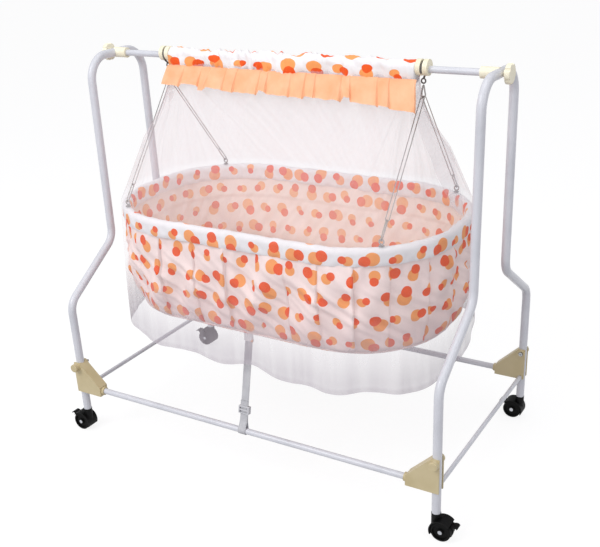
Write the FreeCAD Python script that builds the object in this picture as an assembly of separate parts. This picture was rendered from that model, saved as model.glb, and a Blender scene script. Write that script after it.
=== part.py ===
import FreeCAD, Part
import math
import os
from FreeCAD import Vector as V

# Swinging baby crib: a fabric basket hung by wire links from the top bar of a wheeled tube stand,
# with a swing lock strap and a mosquito net.  Millimetres.  The origin is on the floor, at the
# middle of the stand: +X along the top bar, -Y the side with the strap, +Z up.

# ---- stand ---------------------------------------------------------------------------------------
frame_spacing = 940.0      # between the axes of the two end frames
leg_od = 19.0
leg_wall = 1.2
foot_half = 264.0          # half the distance between the feet of one end frame
knee_half = 95.0           # the same at the upper knee
top_half = 91.0            # the same where the top bend starts
caster_height = 58.0       # floor to the open lower end of a leg
lower_knee_z = 343.0
upper_knee_z = 455.0
bar_z = 886.0              # axis of the top bar, which is also the axis of the swing
top_bend_r = 55.0
knee_bend_r = 45.0
bar_od = 14.0
bar_wall = 1.2
rail_od = 14.0
rail_wall = 1.2
rail_z = 123.0
cross_od = 10.0
cross_wall = 1.0
cross_z = 116.0

# ---- bar end sockets and hand knobs ----------------------------------------------------------------
socket_reach = 36.0        # frame axis to the open end of a socket
socket_od = 23.0
socket_floor = 5.0
bolt_r = 3.0
snug = 0.05                # radial clearance of pieces that fit one in the other
knob_r = 19.5
knob_thick = 11.0
knob_neck = 5.0
knob_neck_r = 7.0
knob_lobes = 6
knob_lobe_r = 4.5
knob_edge = 2.0
knob_lobe_out = 1.6        # knob rim to the middle of a lobe's hollow
bolt_cover = 3.0           # plastic over the end of the knob's bolt
nut_length = 10.0

# ---- corner brackets -----------------------------------------------------------------------------------
bracket_reach = 64.0       # leg axis to the end of the cheeks
bracket_collar = 6.0
collar_r = 9.8
bracket_back = 9.0
cheek = 3.4
bracket_bottom = 12.0      # below the rail axis
bracket_nose = 12.0        # above the rail axis, at the collar end
bolt_rise = 57.0           # rail axis to the clamp bolt
boss_r = 9.8
boss_out = 4.0
nose_x = 7.84              # leg axis to where the bracket's top edge starts to slope
cap_length = 9.0
cap_wall = 2.0
cap_edge = 1.5
seat_depth = 3.0           # of the nut and bolt head in the bracket's bosses
seat_room = 0.6
socket_hex_r = 2.6
socket_hex_depth = 2.4
rail_end_gap = 1.0         # end of a base rail to its leg
head_r = 5.0
head_thick = 4.0
nut_across_r = 5.6
nut_thick = 5.0
bolt_tail = 9.0

# ---- casters ----------------------------------------------------------------------------------------------
wheel_r = 22.0
wheel_width = 12.2
wheel_gap = 3.1            # middle of the caster to the inner face of a wheel
trail = 15.0
axle_r = 3.0
hood_gap = 0.8
hood_thick = 2.6
hood_half_width = 16.6
web_half = 2.5
stem_r = 4.0
stem_length = 44.0
stem_seat = 8.0            # of the stem in the housing
press = 0.02               # radial clearance of pressed pins
swivel_boss_r = 10.0
axle_gap = 0.2
axle_head_r = 4.5
axle_head = 0.9
wheel_edge = 2.0
wheel_rim = 5.0
wheel_dish = 3.0
wheel_hub_r = 7.0
hood_past_lever = 11.0     # degrees from the lever's pin to the front edge of the hood
hood_back = 205.0
web_over = 0.5             # how far the web runs into the hood
web_bottom = 7.7           # floor to the lower edge of the web
socket_lip = 0.8
socket_flange = 2.0
seat_gap = 0.3
lever_angle = 32.0
lever_pin_r = 1.5
lever_hub_r = 2.8
lever_half_width = 9.0
lever_tail = 13.0
lever_play = 0.3
ear_play = 0.4

# ---- suspension -------------------------------------------------------------------------------------------
hang_x = 316.0             # middle of the stand to each pair of links
bush_half = 12.5
bush_core_r = 12.0
bush_flange_r = 16.0
bush_rise = 3.5
groove_half = 2.6
hook_r = 2.0
hook_gap = 0.3
hook_start = 205.0
hook_drop = 26.0           # bar axis to the ring's place on the hook's eye
hook_eye_r = 4.5
hook_eye_wire = 1.5
ring_r = 1.5
ring_half = 9.0
ring_height = 25.0
ring_corner = 4.0
ring_peak = 3.0            # bend at the top of the ring
link_r = 1.0
link_half = 4.0
short_r = 1.25
short_half = 3.5
short_length = 40.0
link_spread = 4.0
eye_r = 5.0
eye_wire = 1.5
eye_shank_r = 1.8
eye_lift = 9.0             # top of the rim band to the middle of its eye
washer_r = 6.0
washer_thick = 1.2
chain_gap = 0.2

# ---- basket -----------------------------------------------------------------------------------------------
rim_half_x = 398.0
rim_half_y = 236.0
rim_corner = 211.0
rim_od = 16.0
rim_wall = 1.2
rim_z = 570.0
band_half = 11.0
band_top = 13.0            # above the rim tube's axis
band_drop = 25.0           # below it
band_edge = 7.7            # rounding of the band's upper edges
basket_bottom = 345.0
skirt_inset_top = 5.0      # from the band's outer face
skirt_taper = 19.0
cloth = 1.5
cloth_gap = 0.4
lining_gap = 6.0           # between the skirt and the lining
hoop_r = 4.0
board_thick = 4.0
pad_thick = 35.0
pad_inset = 8.0
pad_edge = 10.5

# ---- bar sleeve, valance and net -------------------------------------------------------------------------
sleeve_half = 303.0
sleeve_r = 17.0
sleeve_edge = 4.0
valance_drop = 40.0
valance_below = 5.1        # upper edge of the net to that of the valance
valance_thick = 3.0
net_thick = 1.5
net_below_bar = 8.0        # bar axis to the upper edge of the net
net_top_corner = 8.0
net_top_half_y = 18.5
net_gap = 2.0
net_to_valance = 1.0
net_hem = 287.0
net_flare = 5.0
slit_half = 26.0
slit_depth = 15.0          # end of the sleeve to the inner edge of a slit
slit_low = 640.0
slit_left_low = 800.0

# ---- swing lock strap ---------------------------------------------------------------------------------------
strap_width = 20.0
strap_thick = 1.4
strap_x = 5.0
strap_top_y = -216.0
loop_gap = 0.3
buckle_rise = 40.0
buckle_width = 27.0
buckle_height = 18.0
buckle_room = 6.0          # beside the webbing, through the buckle
buckle_wall = 1.6
buckle_edge = 1.2
buckle_side = 0.6
window_z = 4.0             # middle of the buckle to the middle of a window
window_half = 2.4
loop_tip = 10.0            # closed end of the rail loop above the buckle's lower end
loop_room = 6.0            # open loop's end below it
tab_length = 16.0
tab_half = 2.0             # half the thickness of the tab
tab_spare = 2.0            # tab wider than the strap, each side
tab_gap = 0.3
tab_sewn = 1.0             # lower edge of the basket to the tab's own length

X = V(1, 0, 0)
Y = V(0, 1, 0)
Z = V(0, 0, 1)
frame_x = frame_spacing / 2
leg_r = leg_od / 2
bar_r = bar_od / 2
rail_r = rail_od / 2
cross_r = cross_od / 2
os.makedirs("parts", exist_ok=True)


def save(name, *solids):
    shape = solids[0] if len(solids) == 1 else Part.makeCompound(list(solids))
    if not shape.isValid():
        print("not valid:", name)
    shape.exportStep("parts/" + name + ".step")


def rod(start, end, radius):
    """Round bar from one point to another."""
    run = end.sub(start)
    return Part.makeCylinder(radius, run.Length, start, run)


def box(x0, x1, y0, y1, z0, z1):
    return Part.makeBox(x1 - x0, y1 - y0, z1 - z0, V(x0, y0, z0))


def rounded_path(points, radii, closed=False):
    """Straight runs joined by tangent arcs: one radius for each point that turns."""
    count = len(points)
    turns = range(count) if closed else range(1, count - 1)
    arcs = {}
    for i in turns:
        corner = points[i]
        back = points[i - 1].sub(corner).normalize()
        ahead = points[(i + 1) % count].sub(corner).normalize()
        half = back.getAngle(ahead) / 2
        reach = radii[i] / math.tan(half)
        middle_run = radii[i] / math.sin(half) - radii[i]
        middle = corner.add(back.add(ahead).normalize() * middle_run)
        arcs[i] = (corner.add(back * reach), middle, corner.add(ahead * reach))
    edges = []
    for i in range(count if closed else count - 1):
        j = (i + 1) % count
        start = arcs[i][2] if i in arcs else points[i]
        end = arcs[j][0] if j in arcs else points[j]
        if start.distanceToPoint(end) > 1e-6:
            edges.append(Part.LineSegment(start, end).toShape())
        if j in arcs:
            edges.append(Part.Arc(*arcs[j]).toShape())
    return Part.Wire(edges)


def wire_along(path, radius):
    """Round wire or tube of one radius along a path."""
    edge = path.Edges[0]
    start = edge.valueAt(edge.FirstParameter)
    tangent = edge.tangentAt(edge.FirstParameter)
    circle = Part.Wire(Part.Circle(start, tangent, radius).toShape())
    return path.makePipeShell([circle], True, False)


def tube_along(path, radius, wall):
    return wire_along(path, radius).cut(wire_along(path, radius - wall))


def oblong(half_x, half_y, corner, z):
    """Outline of the basket at one height: a rectangle with large round corners."""
    points = [V(half_x, -half_y, z), V(half_x, half_y, z),
              V(-half_x, half_y, z), V(-half_x, -half_y, z)]
    return rounded_path(points, [corner] * 4, True)


def plate(half_x, half_y, corner, z, height):
    return Part.Face(oblong(half_x, half_y, corner, z)).extrude(Z * height)


def loft(sections):
    return Part.makeLoft([oblong(*s) for s in sections], True, True)


def basket_section(offset, z):
    """The basket's outline at a distance from the rim tube's axis, outwards if positive."""
    return (rim_half_x + offset, rim_half_y + offset, rim_corner + offset, z)


def mirrored(shape, normal):
    return shape.mirror(V(0, 0, 0), normal)


# ---- end frames, rails and top bar --------------------------------------------------------------------
def end_frame(side):
    x = side * frame_x
    half = [V(x, -foot_half, caster_height), V(x, -foot_half, lower_knee_z),
            V(x, -knee_half, upper_knee_z), V(x, -top_half, bar_z)]
    other = [V(x, -p.y, p.z) for p in reversed(half)]
    radii = [0, knee_bend_r, knee_bend_r, top_bend_r]
    frame = tube_along(rounded_path(half + other, radii + radii[::-1]), leg_r, leg_wall)
    frame = frame.cut(rod(V(x - leg_od, 0, bar_z), V(x + leg_od, 0, bar_z), bolt_r + snug))
    for y in (-foot_half, foot_half):
        hole = rod(V(x, y - leg_od, rail_z + bolt_rise), V(x, y + leg_od, rail_z + bolt_rise),
                   bolt_r + snug)
        frame = frame.cut(hole)
    return frame


def cross_rail(side):
    x = side * frame_x
    ends = (V(x, -foot_half, cross_z), V(x, foot_half, cross_z))
    rail = rod(*ends, cross_r).cut(rod(*ends, cross_r - cross_wall))
    for y in (-foot_half, foot_half):
        rail = rail.cut(rod(V(x, y, cross_z - leg_od), V(x, y, cross_z + leg_od), leg_r))
    return rail


def base_rail(y):
    half = frame_x - leg_r - rail_end_gap
    ends = (V(-half, y, rail_z), V(half, y, rail_z))
    return rod(*ends, rail_r).cut(rod(*ends, rail_r - rail_wall))


bar_half = frame_x - leg_r - socket_floor


def top_bar():
    ends = (V(-bar_half, 0, bar_z), V(bar_half, 0, bar_z))
    return rod(*ends, bar_r).cut(rod(*ends, bar_r - bar_wall))


# ---- what closes the top bar: socket, nut, bolt and knob, drawn for the +X end ---------------------------
def bar_socket():
    body = rod(V(frame_x - socket_reach, 0, bar_z), V(frame_x, 0, bar_z), socket_od / 2)
    body = body.cut(rod(V(0, 0, bar_z), V(bar_half, 0, bar_z), bar_r + snug))
    tube = rod(V(frame_x, -socket_od, bar_z), V(frame_x, socket_od, bar_z), leg_r + snug)
    return body.cut(tube).cut(rod(V(0, 0, bar_z), V(frame_x, 0, bar_z), bolt_r + snug))


def bar_nut():
    """Threaded plug in the end of the top bar."""
    start = V(bar_half - nut_length, 0, bar_z)
    end = V(bar_half, 0, bar_z)
    return rod(start, end, bar_r - bar_wall - snug).cut(rod(start, end, bolt_r + snug))


knob_face = frame_x + leg_r + knob_neck


def hand_knob():
    start = V(knob_face, 0, bar_z)
    body = rod(start, start.add(X * knob_thick), knob_r)
    body = body.makeFillet(knob_edge, [e for e in body.Edges if e.Length > 2 * knob_r])
    for i in range(knob_lobes):
        turn = math.radians(360.0 * (i + 0.5) / knob_lobes)
        centre = start.add(V(0, math.cos(turn), math.sin(turn)) * (knob_r + knob_lobe_out))
        body = body.cut(rod(centre, centre.add(X * knob_thick), knob_lobe_r))
    neck = rod(start.sub(X * (knob_neck - snug)), start.add(X), knob_neck_r)
    body = body.fuse(neck)
    return body.cut(rod(start.sub(X * knob_neck), start.add(X * (knob_thick - bolt_cover)), bolt_r))


def knob_bolt():
    return rod(V(bar_half - nut_length, 0, bar_z), V(knob_face + knob_thick - bolt_cover, 0, bar_z), bolt_r)


# ---- corner bracket, drawn for the leg at -X, with the rail running towards +X -----------------------------
def outline(points):
    return Part.Face(Part.makePolygon([V(u, 0, w) for u, w in points + points[:1]]))


def corner_bracket():
    half = leg_r + snug + cheek
    top = bolt_rise + boss_r
    low = -bracket_bottom
    shape = [(-bracket_back, low), (bracket_reach, low), (bracket_reach, bracket_nose),
             (nose_x, top), (-bracket_back, top)]
    body = outline(shape).extrude(Y * (2 * half))
    body.translate(V(0, -half, 0))
    slope = math.atan2(top - bracket_nose, bracket_reach - nose_x)
    drop = cheek / math.cos(slope)
    pocket = [(-bracket_back - 1, low + cheek), (bracket_reach - cheek, low + cheek),
              (bracket_reach - cheek, bracket_nose - drop + cheek * math.tan(slope)),
              (nose_x - cheek, top + 1), (-bracket_back - 1, top + 1)]
    inside = outline(pocket).extrude(Y * (2 * (leg_r + snug)))
    inside.translate(V(0, -leg_r - snug, 0))
    body = body.cut(inside)
    for y in (-1, 1):
        boss = rod(V(0, y * (half - 1), bolt_rise), V(0, y * (half + boss_out), bolt_rise), boss_r)
        body = body.fuse(boss)
    body = body.fuse(rod(V(bracket_reach - cheek, 0, 0), V(bracket_reach + bracket_collar, 0, 0),
                         collar_r))
    leg = rod(V(0, 0, low - 1), V(0, 0, top + 1), leg_r + snug)
    leg = leg.fuse(box(-bracket_back - 1, 0, -leg_r - snug, leg_r + snug, low - 1, top + 1))
    body = body.cut(leg)
    body = body.cut(rod(V(0, 0, 0), V(bracket_reach + bracket_collar, 0, 0), rail_r + snug))
    body = body.cut(rod(V(0, -half * 2, bolt_rise), V(0, half * 2, bolt_rise), bolt_r + snug))
    notch_r = cross_r + loop_gap
    notch_z = cross_z - rail_z
    notch = rod(V(0, 0, notch_z), V(0, half + 1, notch_z), notch_r)
    notch = notch.fuse(box(-notch_r, notch_r, 0, half + 1, low - 1, notch_z))
    body = body.cut(notch)
    for y in (-1, 1):
        seat = rod(V(0, y * (half + boss_out - seat_depth), bolt_rise),
                   V(0, y * (half + 2 * boss_out), bolt_rise), nut_across_r + seat_room)
        body = body.cut(seat)
    return body


bracket_half = leg_r + snug + cheek
seat_y = bracket_half + boss_out - seat_depth


def hexagon(radius, y0, y1):
    points = [V(radius * math.cos(math.radians(60 * i)), y0, radius * math.sin(math.radians(60 * i)))
              for i in range(7)]
    return Part.Face(Part.makePolygon(points)).extrude(Y * (y1 - y0))


def clamp_bolt():
    """Round-headed clamp bolt: the head is on the -Y side."""
    tail = bracket_half + boss_out + bolt_tail
    body = rod(V(0, -seat_y - head_thick, 0), V(0, -seat_y, 0), head_r)
    socket = hexagon(socket_hex_r, -seat_y - head_thick, -seat_y - head_thick + socket_hex_depth)
    return body.fuse(rod(V(0, -seat_y, 0), V(0, tail, 0), bolt_r)).cut(socket)


def clamp_nut():
    nut = hexagon(nut_across_r, seat_y, seat_y + nut_thick)
    return nut.cut(rod(V(0, 0, 0), V(0, seat_y * 2, 0), bolt_r + snug))


def bolt_cap():
    face = bracket_half + boss_out
    body = rod(V(0, -face, 0), V(0, -face - cap_length, 0), boss_r)
    end = [e for e in body.Edges if abs(e.CenterOfMass.y + face + cap_length) < 0.1]
    body = body.makeFillet(cap_edge, end)
    return body.cut(rod(V(0, -face, 0), V(0, -face - cap_length + cap_wall, 0), boss_r - cap_wall))


# ---- caster, drawn with its swivel axis at the origin and its trail towards +X ------------------------------
def at_axle(radius, angle, y=0.0):
    turn = math.radians(angle)
    return V(trail + radius * math.cos(turn), y, wheel_r + radius * math.sin(turn))


lever_orbit = wheel_r + hood_gap + hood_thick


def caster_housing():
    inner = wheel_r + hood_gap
    outer = inner + hood_thick
    drum = rod(at_axle(0, 0, -hood_half_width), at_axle(0, 0, hood_half_width), outer)
    wheel_room = rod(at_axle(0, 0, -hood_half_width - 1), at_axle(0, 0, hood_half_width + 1), inner)
    start = lever_angle + hood_past_lever
    sector = [at_axle(60, start), at_axle(60, 90), at_axle(60, 150), at_axle(60, hood_back),
              at_axle(0, 0)]
    wedge = Part.Face(Part.makePolygon(sector + sector[:1])).extrude(Y * (2 * hood_half_width))
    wedge.translate(V(0, -hood_half_width, 0))
    hood = drum.cut(wheel_room).common(wedge)
    neck_top = caster_height - socket_flange - seat_gap
    boss = rod(V(0, 0, wheel_r), V(0, 0, neck_top), swivel_boss_r).cut(wheel_room)
    web = rod(at_axle(0, 0, -web_half), at_axle(0, 0, web_half), inner + web_over)
    below = box(-60, 60, -web_half - 1, web_half + 1, -10, web_bottom)
    web = web.cut(below)
    ear = rod(at_axle(lever_orbit, lever_angle, -web_half), at_axle(lever_orbit, lever_angle, web_half),
              lever_hub_r)
    body = hood.fuse([boss, web, ear])
    body = body.cut(rod(at_axle(0, 0, -web_half * 2), at_axle(0, 0, web_half * 2), axle_r + press))
    body = body.cut(rod(at_axle(lever_orbit, lever_angle, -5), at_axle(lever_orbit, lever_angle, 5),
                        lever_pin_r + snug))
    stem_hole = rod(V(0, 0, neck_top - stem_seat), V(0, 0, neck_top), stem_r + press)
    return body.cut(stem_hole).removeSplitter()


def caster_pins():
    """Swivel stem and wheel axle, both steel."""
    neck_top = caster_height - socket_flange - seat_gap
    low = neck_top - stem_seat
    stem = rod(V(0, 0, low), V(0, 0, low + stem_length), stem_r)
    side = wheel_gap + wheel_width + axle_gap
    axle = rod(at_axle(0, 0, -side), at_axle(0, 0, side), axle_r)
    for y in (-1, 1):
        axle = axle.fuse(rod(at_axle(0, 0, y * side), at_axle(0, 0, y * (side + axle_head)),
                             axle_head_r))
    return [stem, axle]


def caster_wheels():
    wheels = []
    for y in (-1, 1):
        near = wheel_gap
        far = wheel_gap + wheel_width
        wheel = rod(at_axle(0, 0, y * near), at_axle(0, 0, y * far), wheel_r)
        wheel = wheel.makeFillet(wheel_edge, [e for e in wheel.Edges if e.Length > 2 * wheel_r])
        dish = rod(at_axle(0, 0, y * (far - wheel_dish)), at_axle(0, 0, y * (far + 1)),
                   wheel_r - wheel_rim)
        hub = rod(at_axle(0, 0, y * (far - wheel_dish - 1)), at_axle(0, 0, y * far), wheel_hub_r)
        wheel = wheel.cut(dish).fuse(hub)
        wheels.append(wheel.cut(rod(at_axle(0, 0, -far - 1), at_axle(0, 0, far + 1),
                                    axle_r + snug)))
    return wheels


def brake_lever():
    centre = at_axle(lever_orbit, lever_angle)
    arms = []
    for y in (-1, 1):
        near = y * (web_half + lever_play)
        far = y * lever_half_width
        arms.append(rod(at_axle(lever_orbit, lever_angle, near), at_axle(lever_orbit, lever_angle, far),
                        lever_hub_r))
    pin = rod(at_axle(lever_orbit, lever_angle, -lever_half_width),
              at_axle(lever_orbit, lever_angle, lever_half_width), lever_pin_r)
    # the pedal's profile from its pin: outwards, up
    tail = [(0.5, 2.8), (6, 4.6), (10, 4.0), (lever_tail, 1.0), (lever_tail - 1, -0.4), (9, 1.8),
            (6, 2.2), (2.4, 0)]
    points = [V(centre.x + u, -lever_half_width, centre.z + w) for u, w in tail]
    paddle = Part.Face(Part.makePolygon(points + points[:1])).extrude(Y * (2 * lever_half_width))
    ear_room = rod(at_axle(lever_orbit, lever_angle, -web_half - lever_play),
                   at_axle(lever_orbit, lever_angle, web_half + lever_play), lever_hub_r + ear_play)
    return paddle.cut(ear_room).fuse(arms + [pin]).removeSplitter()


def stem_socket():
    """Plastic plug in the foot of a leg, bored for the caster's stem."""
    bottom = caster_height - socket_flange
    body = rod(V(0, 0, bottom), V(0, 0, caster_height), leg_r + socket_lip)
    body = body.fuse(rod(V(0, 0, bottom), V(0, 0, bottom + stem_length), leg_r - leg_wall - snug))
    return body.cut(rod(V(0, 0, bottom - 1), V(0, 0, bottom + stem_length + 1), stem_r + snug))


# ---- suspension, drawn for the +X end --------------------------------------------------------------------
ring_top = bar_z - hook_drop - hook_eye_r
ring_base = ring_top - ring_height
band_top_z = rim_z + band_top
eye_z = band_top_z + eye_lift
eye_y = rim_half_y - rim_corner + math.sqrt(
    rim_corner ** 2 - (hang_x - rim_half_x + rim_corner) ** 2)


def bush():
    start = V(hang_x - bush_half, 0, bar_z)
    end = V(hang_x + bush_half, 0, bar_z)
    body = rod(start, end, bush_core_r)
    lift = Z * bush_rise
    flanges = rod(start.add(lift), end.add(lift), bush_flange_r)
    groove = box(hang_x - groove_half, hang_x + groove_half, -50, 50, bar_z - 50, bar_z + 50)
    body = body.fuse(flanges.cut(groove))
    return body.cut(rod(start, end, bar_r + snug)).removeSplitter()


def hook(side):
    """Wire hook over the bush, with a closed eye across its foot; side is where its shank hangs."""
    radius = bush_core_r + hook_gap + hook_r
    def on_arc(angle):
        turn = math.radians(angle)
        return V(hang_x, side * radius * math.cos(turn), bar_z + radius * math.sin(turn))
    eye_centre = V(hang_x, 0, ring_top + ring_r + chain_gap + hook_eye_wire + hook_eye_r)
    eye_top = eye_centre.add(Z * hook_eye_r)
    hook_end = math.degrees(math.acos(radius / (bar_z - eye_top.z))) - 90
    arc = Part.Arc(on_arc(hook_start), on_arc(90), on_arc(hook_end)).toShape()
    foot = on_arc(hook_end)
    shank = Part.LineSegment(foot, eye_top).toShape()
    body = wire_along(Part.Wire([arc]), hook_r)
    body = body.fuse([wire_along(Part.Wire([shank]), hook_r), Part.makeSphere(hook_r, foot)])
    eye = Part.makeTorus(hook_eye_r, hook_eye_wire, eye_centre, Y)
    return body.fuse(eye)


def ring():
    half = ring_half + ring_peak
    points = [V(hang_x, 0, ring_top + ring_corner), V(hang_x, half, ring_base),
              V(hang_x, -half, ring_base)]
    return wire_along(rounded_path(points, [ring_peak, ring_corner, ring_corner], True), ring_r)


def loop_link(start, end, half, across, radius):
    """Long closed wire loop whose end bends have their middles at start and end."""
    along = end.sub(start).normalize()
    a = start.add(along * half)
    b = end.sub(along * half)
    side = across * half
    edges = [Part.LineSegment(a.add(side), b.add(side)).toShape(),
             Part.Arc(b.add(side), end, b.sub(side)).toShape(),
             Part.LineSegment(b.sub(side), a.sub(side)).toShape(),
             Part.Arc(a.sub(side), start, a.add(side)).toShape()]
    return wire_along(Part.Wire(edges), radius)


def link_line(side):
    """Where the chain on one side starts on the ring and ends on the rim eye, and its direction."""
    top = V(hang_x, side * link_spread, ring_base)
    foot = V(hang_x, side * eye_y, eye_z + eye_r)
    return top, foot, foot.sub(top).normalize()


def long_link(side):
    top, foot, down = link_line(side)
    start = top.sub(down * ((ring_r + link_r + chain_gap) / abs(down.z)))
    end = foot.sub(down * (short_length - short_r - link_r - chain_gap))
    return loop_link(start, end, link_half, X, link_r)


def short_link(side):
    top, foot, down = link_line(side)
    start = foot.sub(down * short_length)
    end = foot.add(down * (eye_wire + short_r + chain_gap))
    return loop_link(start, end, short_half, down.cross(X), short_r)


rim_r = rim_od / 2


def rim_eye(side):
    y = side * eye_y
    ring_part = Part.makeTorus(eye_r, eye_wire, V(hang_x, y, eye_z), Y)
    shank = rod(V(hang_x, y, rim_z), V(hang_x, y, eye_z - eye_r), eye_shank_r)
    shank = shank.cut(rim_tube_solid)
    washer = rod(V(hang_x, y, band_top_z), V(hang_x, y, band_top_z + washer_thick), washer_r)
    return ring_part.fuse([shank, washer])


# ---- basket ----------------------------------------------------------------------------------------------
rim_path = oblong(rim_half_x, rim_half_y, rim_corner, rim_z)
rim_tube_solid = wire_along(rim_path, rim_r)
rim_tube = rim_tube_solid.cut(wire_along(rim_path, rim_r - rim_wall))


def rim_band():
    low = rim_z - band_drop
    height = band_top + band_drop
    body = plate(*basket_section(band_half, low), height)
    body = body.cut(plate(*basket_section(-band_half, low - 1), height + 2))
    body = body.makeFillet(band_edge, [e for e in body.Edges
                                             if abs(e.CenterOfMass.z - band_top_z) < 0.1])
    body = body.cut(wire_along(rim_path, rim_r + loop_gap))
    for x in (-hang_x, hang_x):
        for y in (-eye_y, eye_y):
            body = body.cut(rod(V(x, y, rim_z), V(x, y, band_top_z + 5), eye_shank_r + loop_gap))
    return body


band_low = rim_z - band_drop
skirt_out = band_half - skirt_inset_top
floor_z = basket_bottom + cloth
board_z = floor_z + 2 * hoop_r + 2 * cloth_gap
lining_z = board_z + board_thick + cloth_gap
pad_z = lining_z + cloth + cloth_gap


def outer_skirt():
    taper = skirt_taper
    shell = loft([basket_section(skirt_out - taper, basket_bottom),
                  basket_section(skirt_out, band_low)])
    room = loft([basket_section(skirt_out - taper - cloth, floor_z),
                 basket_section(skirt_out - cloth, band_low)])
    return shell.cut(room)


lining_out = skirt_out - cloth - lining_gap


def basket_lining():
    taper = skirt_taper
    shell = loft([basket_section(lining_out - taper, lining_z),
                  basket_section(lining_out, band_low)])
    room = loft([basket_section(lining_out - taper - cloth, lining_z + cloth),
                 basket_section(lining_out - cloth, band_low)])
    return shell.cut(room)


floor_out = lining_out - skirt_taper


def floor_hoop():
    path = oblong(*basket_section(floor_out - hoop_r, floor_z + cloth_gap + hoop_r))
    return wire_along(path, hoop_r)


def floor_board():
    return plate(*basket_section(floor_out, board_z), board_thick)


def mattress():
    body = plate(*basket_section(floor_out - cloth - pad_inset, pad_z), pad_thick)
    return body.makeFillet(pad_edge, [e for e in body.Edges if abs(
        e.CenterOfMass.z - pad_z - pad_thick / 2) > pad_thick * 0.4])


# ---- sleeve, valance and net -----------------------------------------------------------------------------
def bar_sleeve():
    ends = (V(-sleeve_half, 0, bar_z), V(sleeve_half, 0, bar_z))
    body = rod(*ends, sleeve_r)
    body = body.makeFillet(sleeve_edge, [e for e in body.Edges if e.Length > 2 * sleeve_r])
    return body.cut(rod(*ends, bar_r + loop_gap))


net_top = bar_z - net_below_bar
net_out = band_half + net_gap + net_thick
net_slope = (rim_half_y + net_out - net_top_half_y) / (net_top - band_top_z)


def net_sections(inset):
    return [basket_section(net_out + net_flare - inset, net_hem),
            basket_section(net_out - inset, band_top_z),
            (sleeve_half - inset, net_top_half_y - inset, net_top_corner, net_top)]


def net():
    """Tent from the sleeve down over the basket, open below and slit at both ends for the links."""
    outer = net_sections(0)
    inner = net_sections(net_thick)
    skirt = loft(outer[:2]).cut(loft([inner[0][:3] + (net_hem,), inner[1]]))
    roof = loft(outer[1:]).cut(loft(inner[1:]))
    body = skirt.fuse(roof)
    inner_x = sleeve_half - slit_depth
    outer_x = rim_half_x + net_out + net_flare
    bounds = [(inner_x, outer_x, slit_low), (-outer_x, -inner_x, slit_left_low)]
    for x0, x1, low in bounds:
        body = body.cut(box(x0, x1, -slit_half, slit_half, low, net_top + 5))
    return body


def valance():
    """Ruffle hanging from the front of the sleeve, lying along the slope of the net."""
    top_z = net_top - valance_below
    low_z = top_z - valance_drop
    def on_net(z, out):
        return -(net_top_half_y + (net_top - z) * net_slope + out)
    near = net_to_valance
    far = net_to_valance + valance_thick
    points = [(on_net(top_z, near), top_z), (on_net(low_z, near), low_z),
              (on_net(low_z, far), low_z), (on_net(top_z, far), top_z)]
    corners = [V(-sleeve_half, y, z) for y, z in points]
    return Part.Face(Part.makePolygon(corners + corners[:1])).extrude(X * (2 * sleeve_half))


# ---- swing lock strap ------------------------------------------------------------------------------------
loop_r = rail_r + loop_gap
strap_top = V(strap_x, strap_top_y, basket_bottom - tab_sewn - tab_length)
rail_point = V(strap_x, -foot_half, rail_z)
strap_up = strap_top.sub(rail_point).normalize()
strap_left = strap_x - strap_width / 2


def drop_face(radius, tip):
    """Teardrop round the rail: a circle and the two tangents that meet at a tip above it."""
    reach = tip.sub(rail_point).Length
    half = math.acos(radius / reach)
    spread = math.atan2(strap_up.z, strap_up.y)
    arms = [rail_point.add(V(0, math.cos(spread + s * half), math.sin(spread + s * half)) * radius)
            for s in (-1, 1)]
    circle = Part.Face(Part.Wire(Part.Circle(rail_point, X, radius).toShape()))
    wedge = Part.Face(Part.makePolygon([rail_point, arms[0], tip, arms[1], rail_point]))
    return circle.fuse(wedge).removeSplitter()


def strap():
    tip = rail_point.add(strap_up * (buckle_rise + loop_tip))
    inner_tip = rail_point.add(strap_up * (buckle_rise - loop_room))
    loop = drop_face(loop_r + strap_thick, tip).extrude(X * strap_width)
    loop = loop.cut(drop_face(loop_r, inner_tip).extrude(X * strap_width))
    side = X.cross(strap_up) * (strap_thick / 2)
    start = rail_point.add(strap_up * buckle_rise)
    corners = [start.add(side), strap_top.add(side), strap_top.sub(side), start.sub(side)]
    web = Part.Face(Part.makePolygon(corners + corners[:1])).extrude(X * strap_width)
    body = loop.fuse(web)
    body.translate(X * (strap_left - strap_x))
    return body.removeSplitter()


def strap_tab():
    """Stitched cloth tab that joins the strap to the basket's lower edge."""
    top = V(strap_x, strap_top_y, basket_bottom - tab_gap)
    out = Y * tab_half
    half = strap_width / 2 + tab_spare
    low = strap_top.add(strap_up * tab_gap)
    corners = [low.sub(out), low.add(out), top.add(out), top.sub(out)]
    body = Part.Face(Part.makePolygon(corners + corners[:1])).extrude(X * (2 * half))
    body.translate(X * -half)
    return body


def strap_buckle():
    """Ladder buckle: a flat frame that the webbing passes through, with two windows in front."""
    slot = strap_thick + buckle_room
    outer = slot / 2 + buckle_wall
    side = strap_width / 2 + buckle_side
    body = box(-buckle_width / 2, buckle_width / 2, -outer, outer,
               -buckle_height / 2, buckle_height / 2)
    body = body.makeFillet(buckle_edge, body.Edges)
    body = body.cut(box(-side, side, -slot / 2, slot / 2, -buckle_height, buckle_height))
    for z in (-window_z, window_z):
        body = body.cut(box(-side, side, -slot, slot, z - window_half, z + window_half))
    tilt = math.degrees(math.atan2(-strap_up.y, strap_up.z))
    body.rotate(V(0, 0, 0), X, tilt)
    body.translate(rail_point.add(strap_up * (buckle_rise + buckle_height / 2)))
    return body


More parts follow.
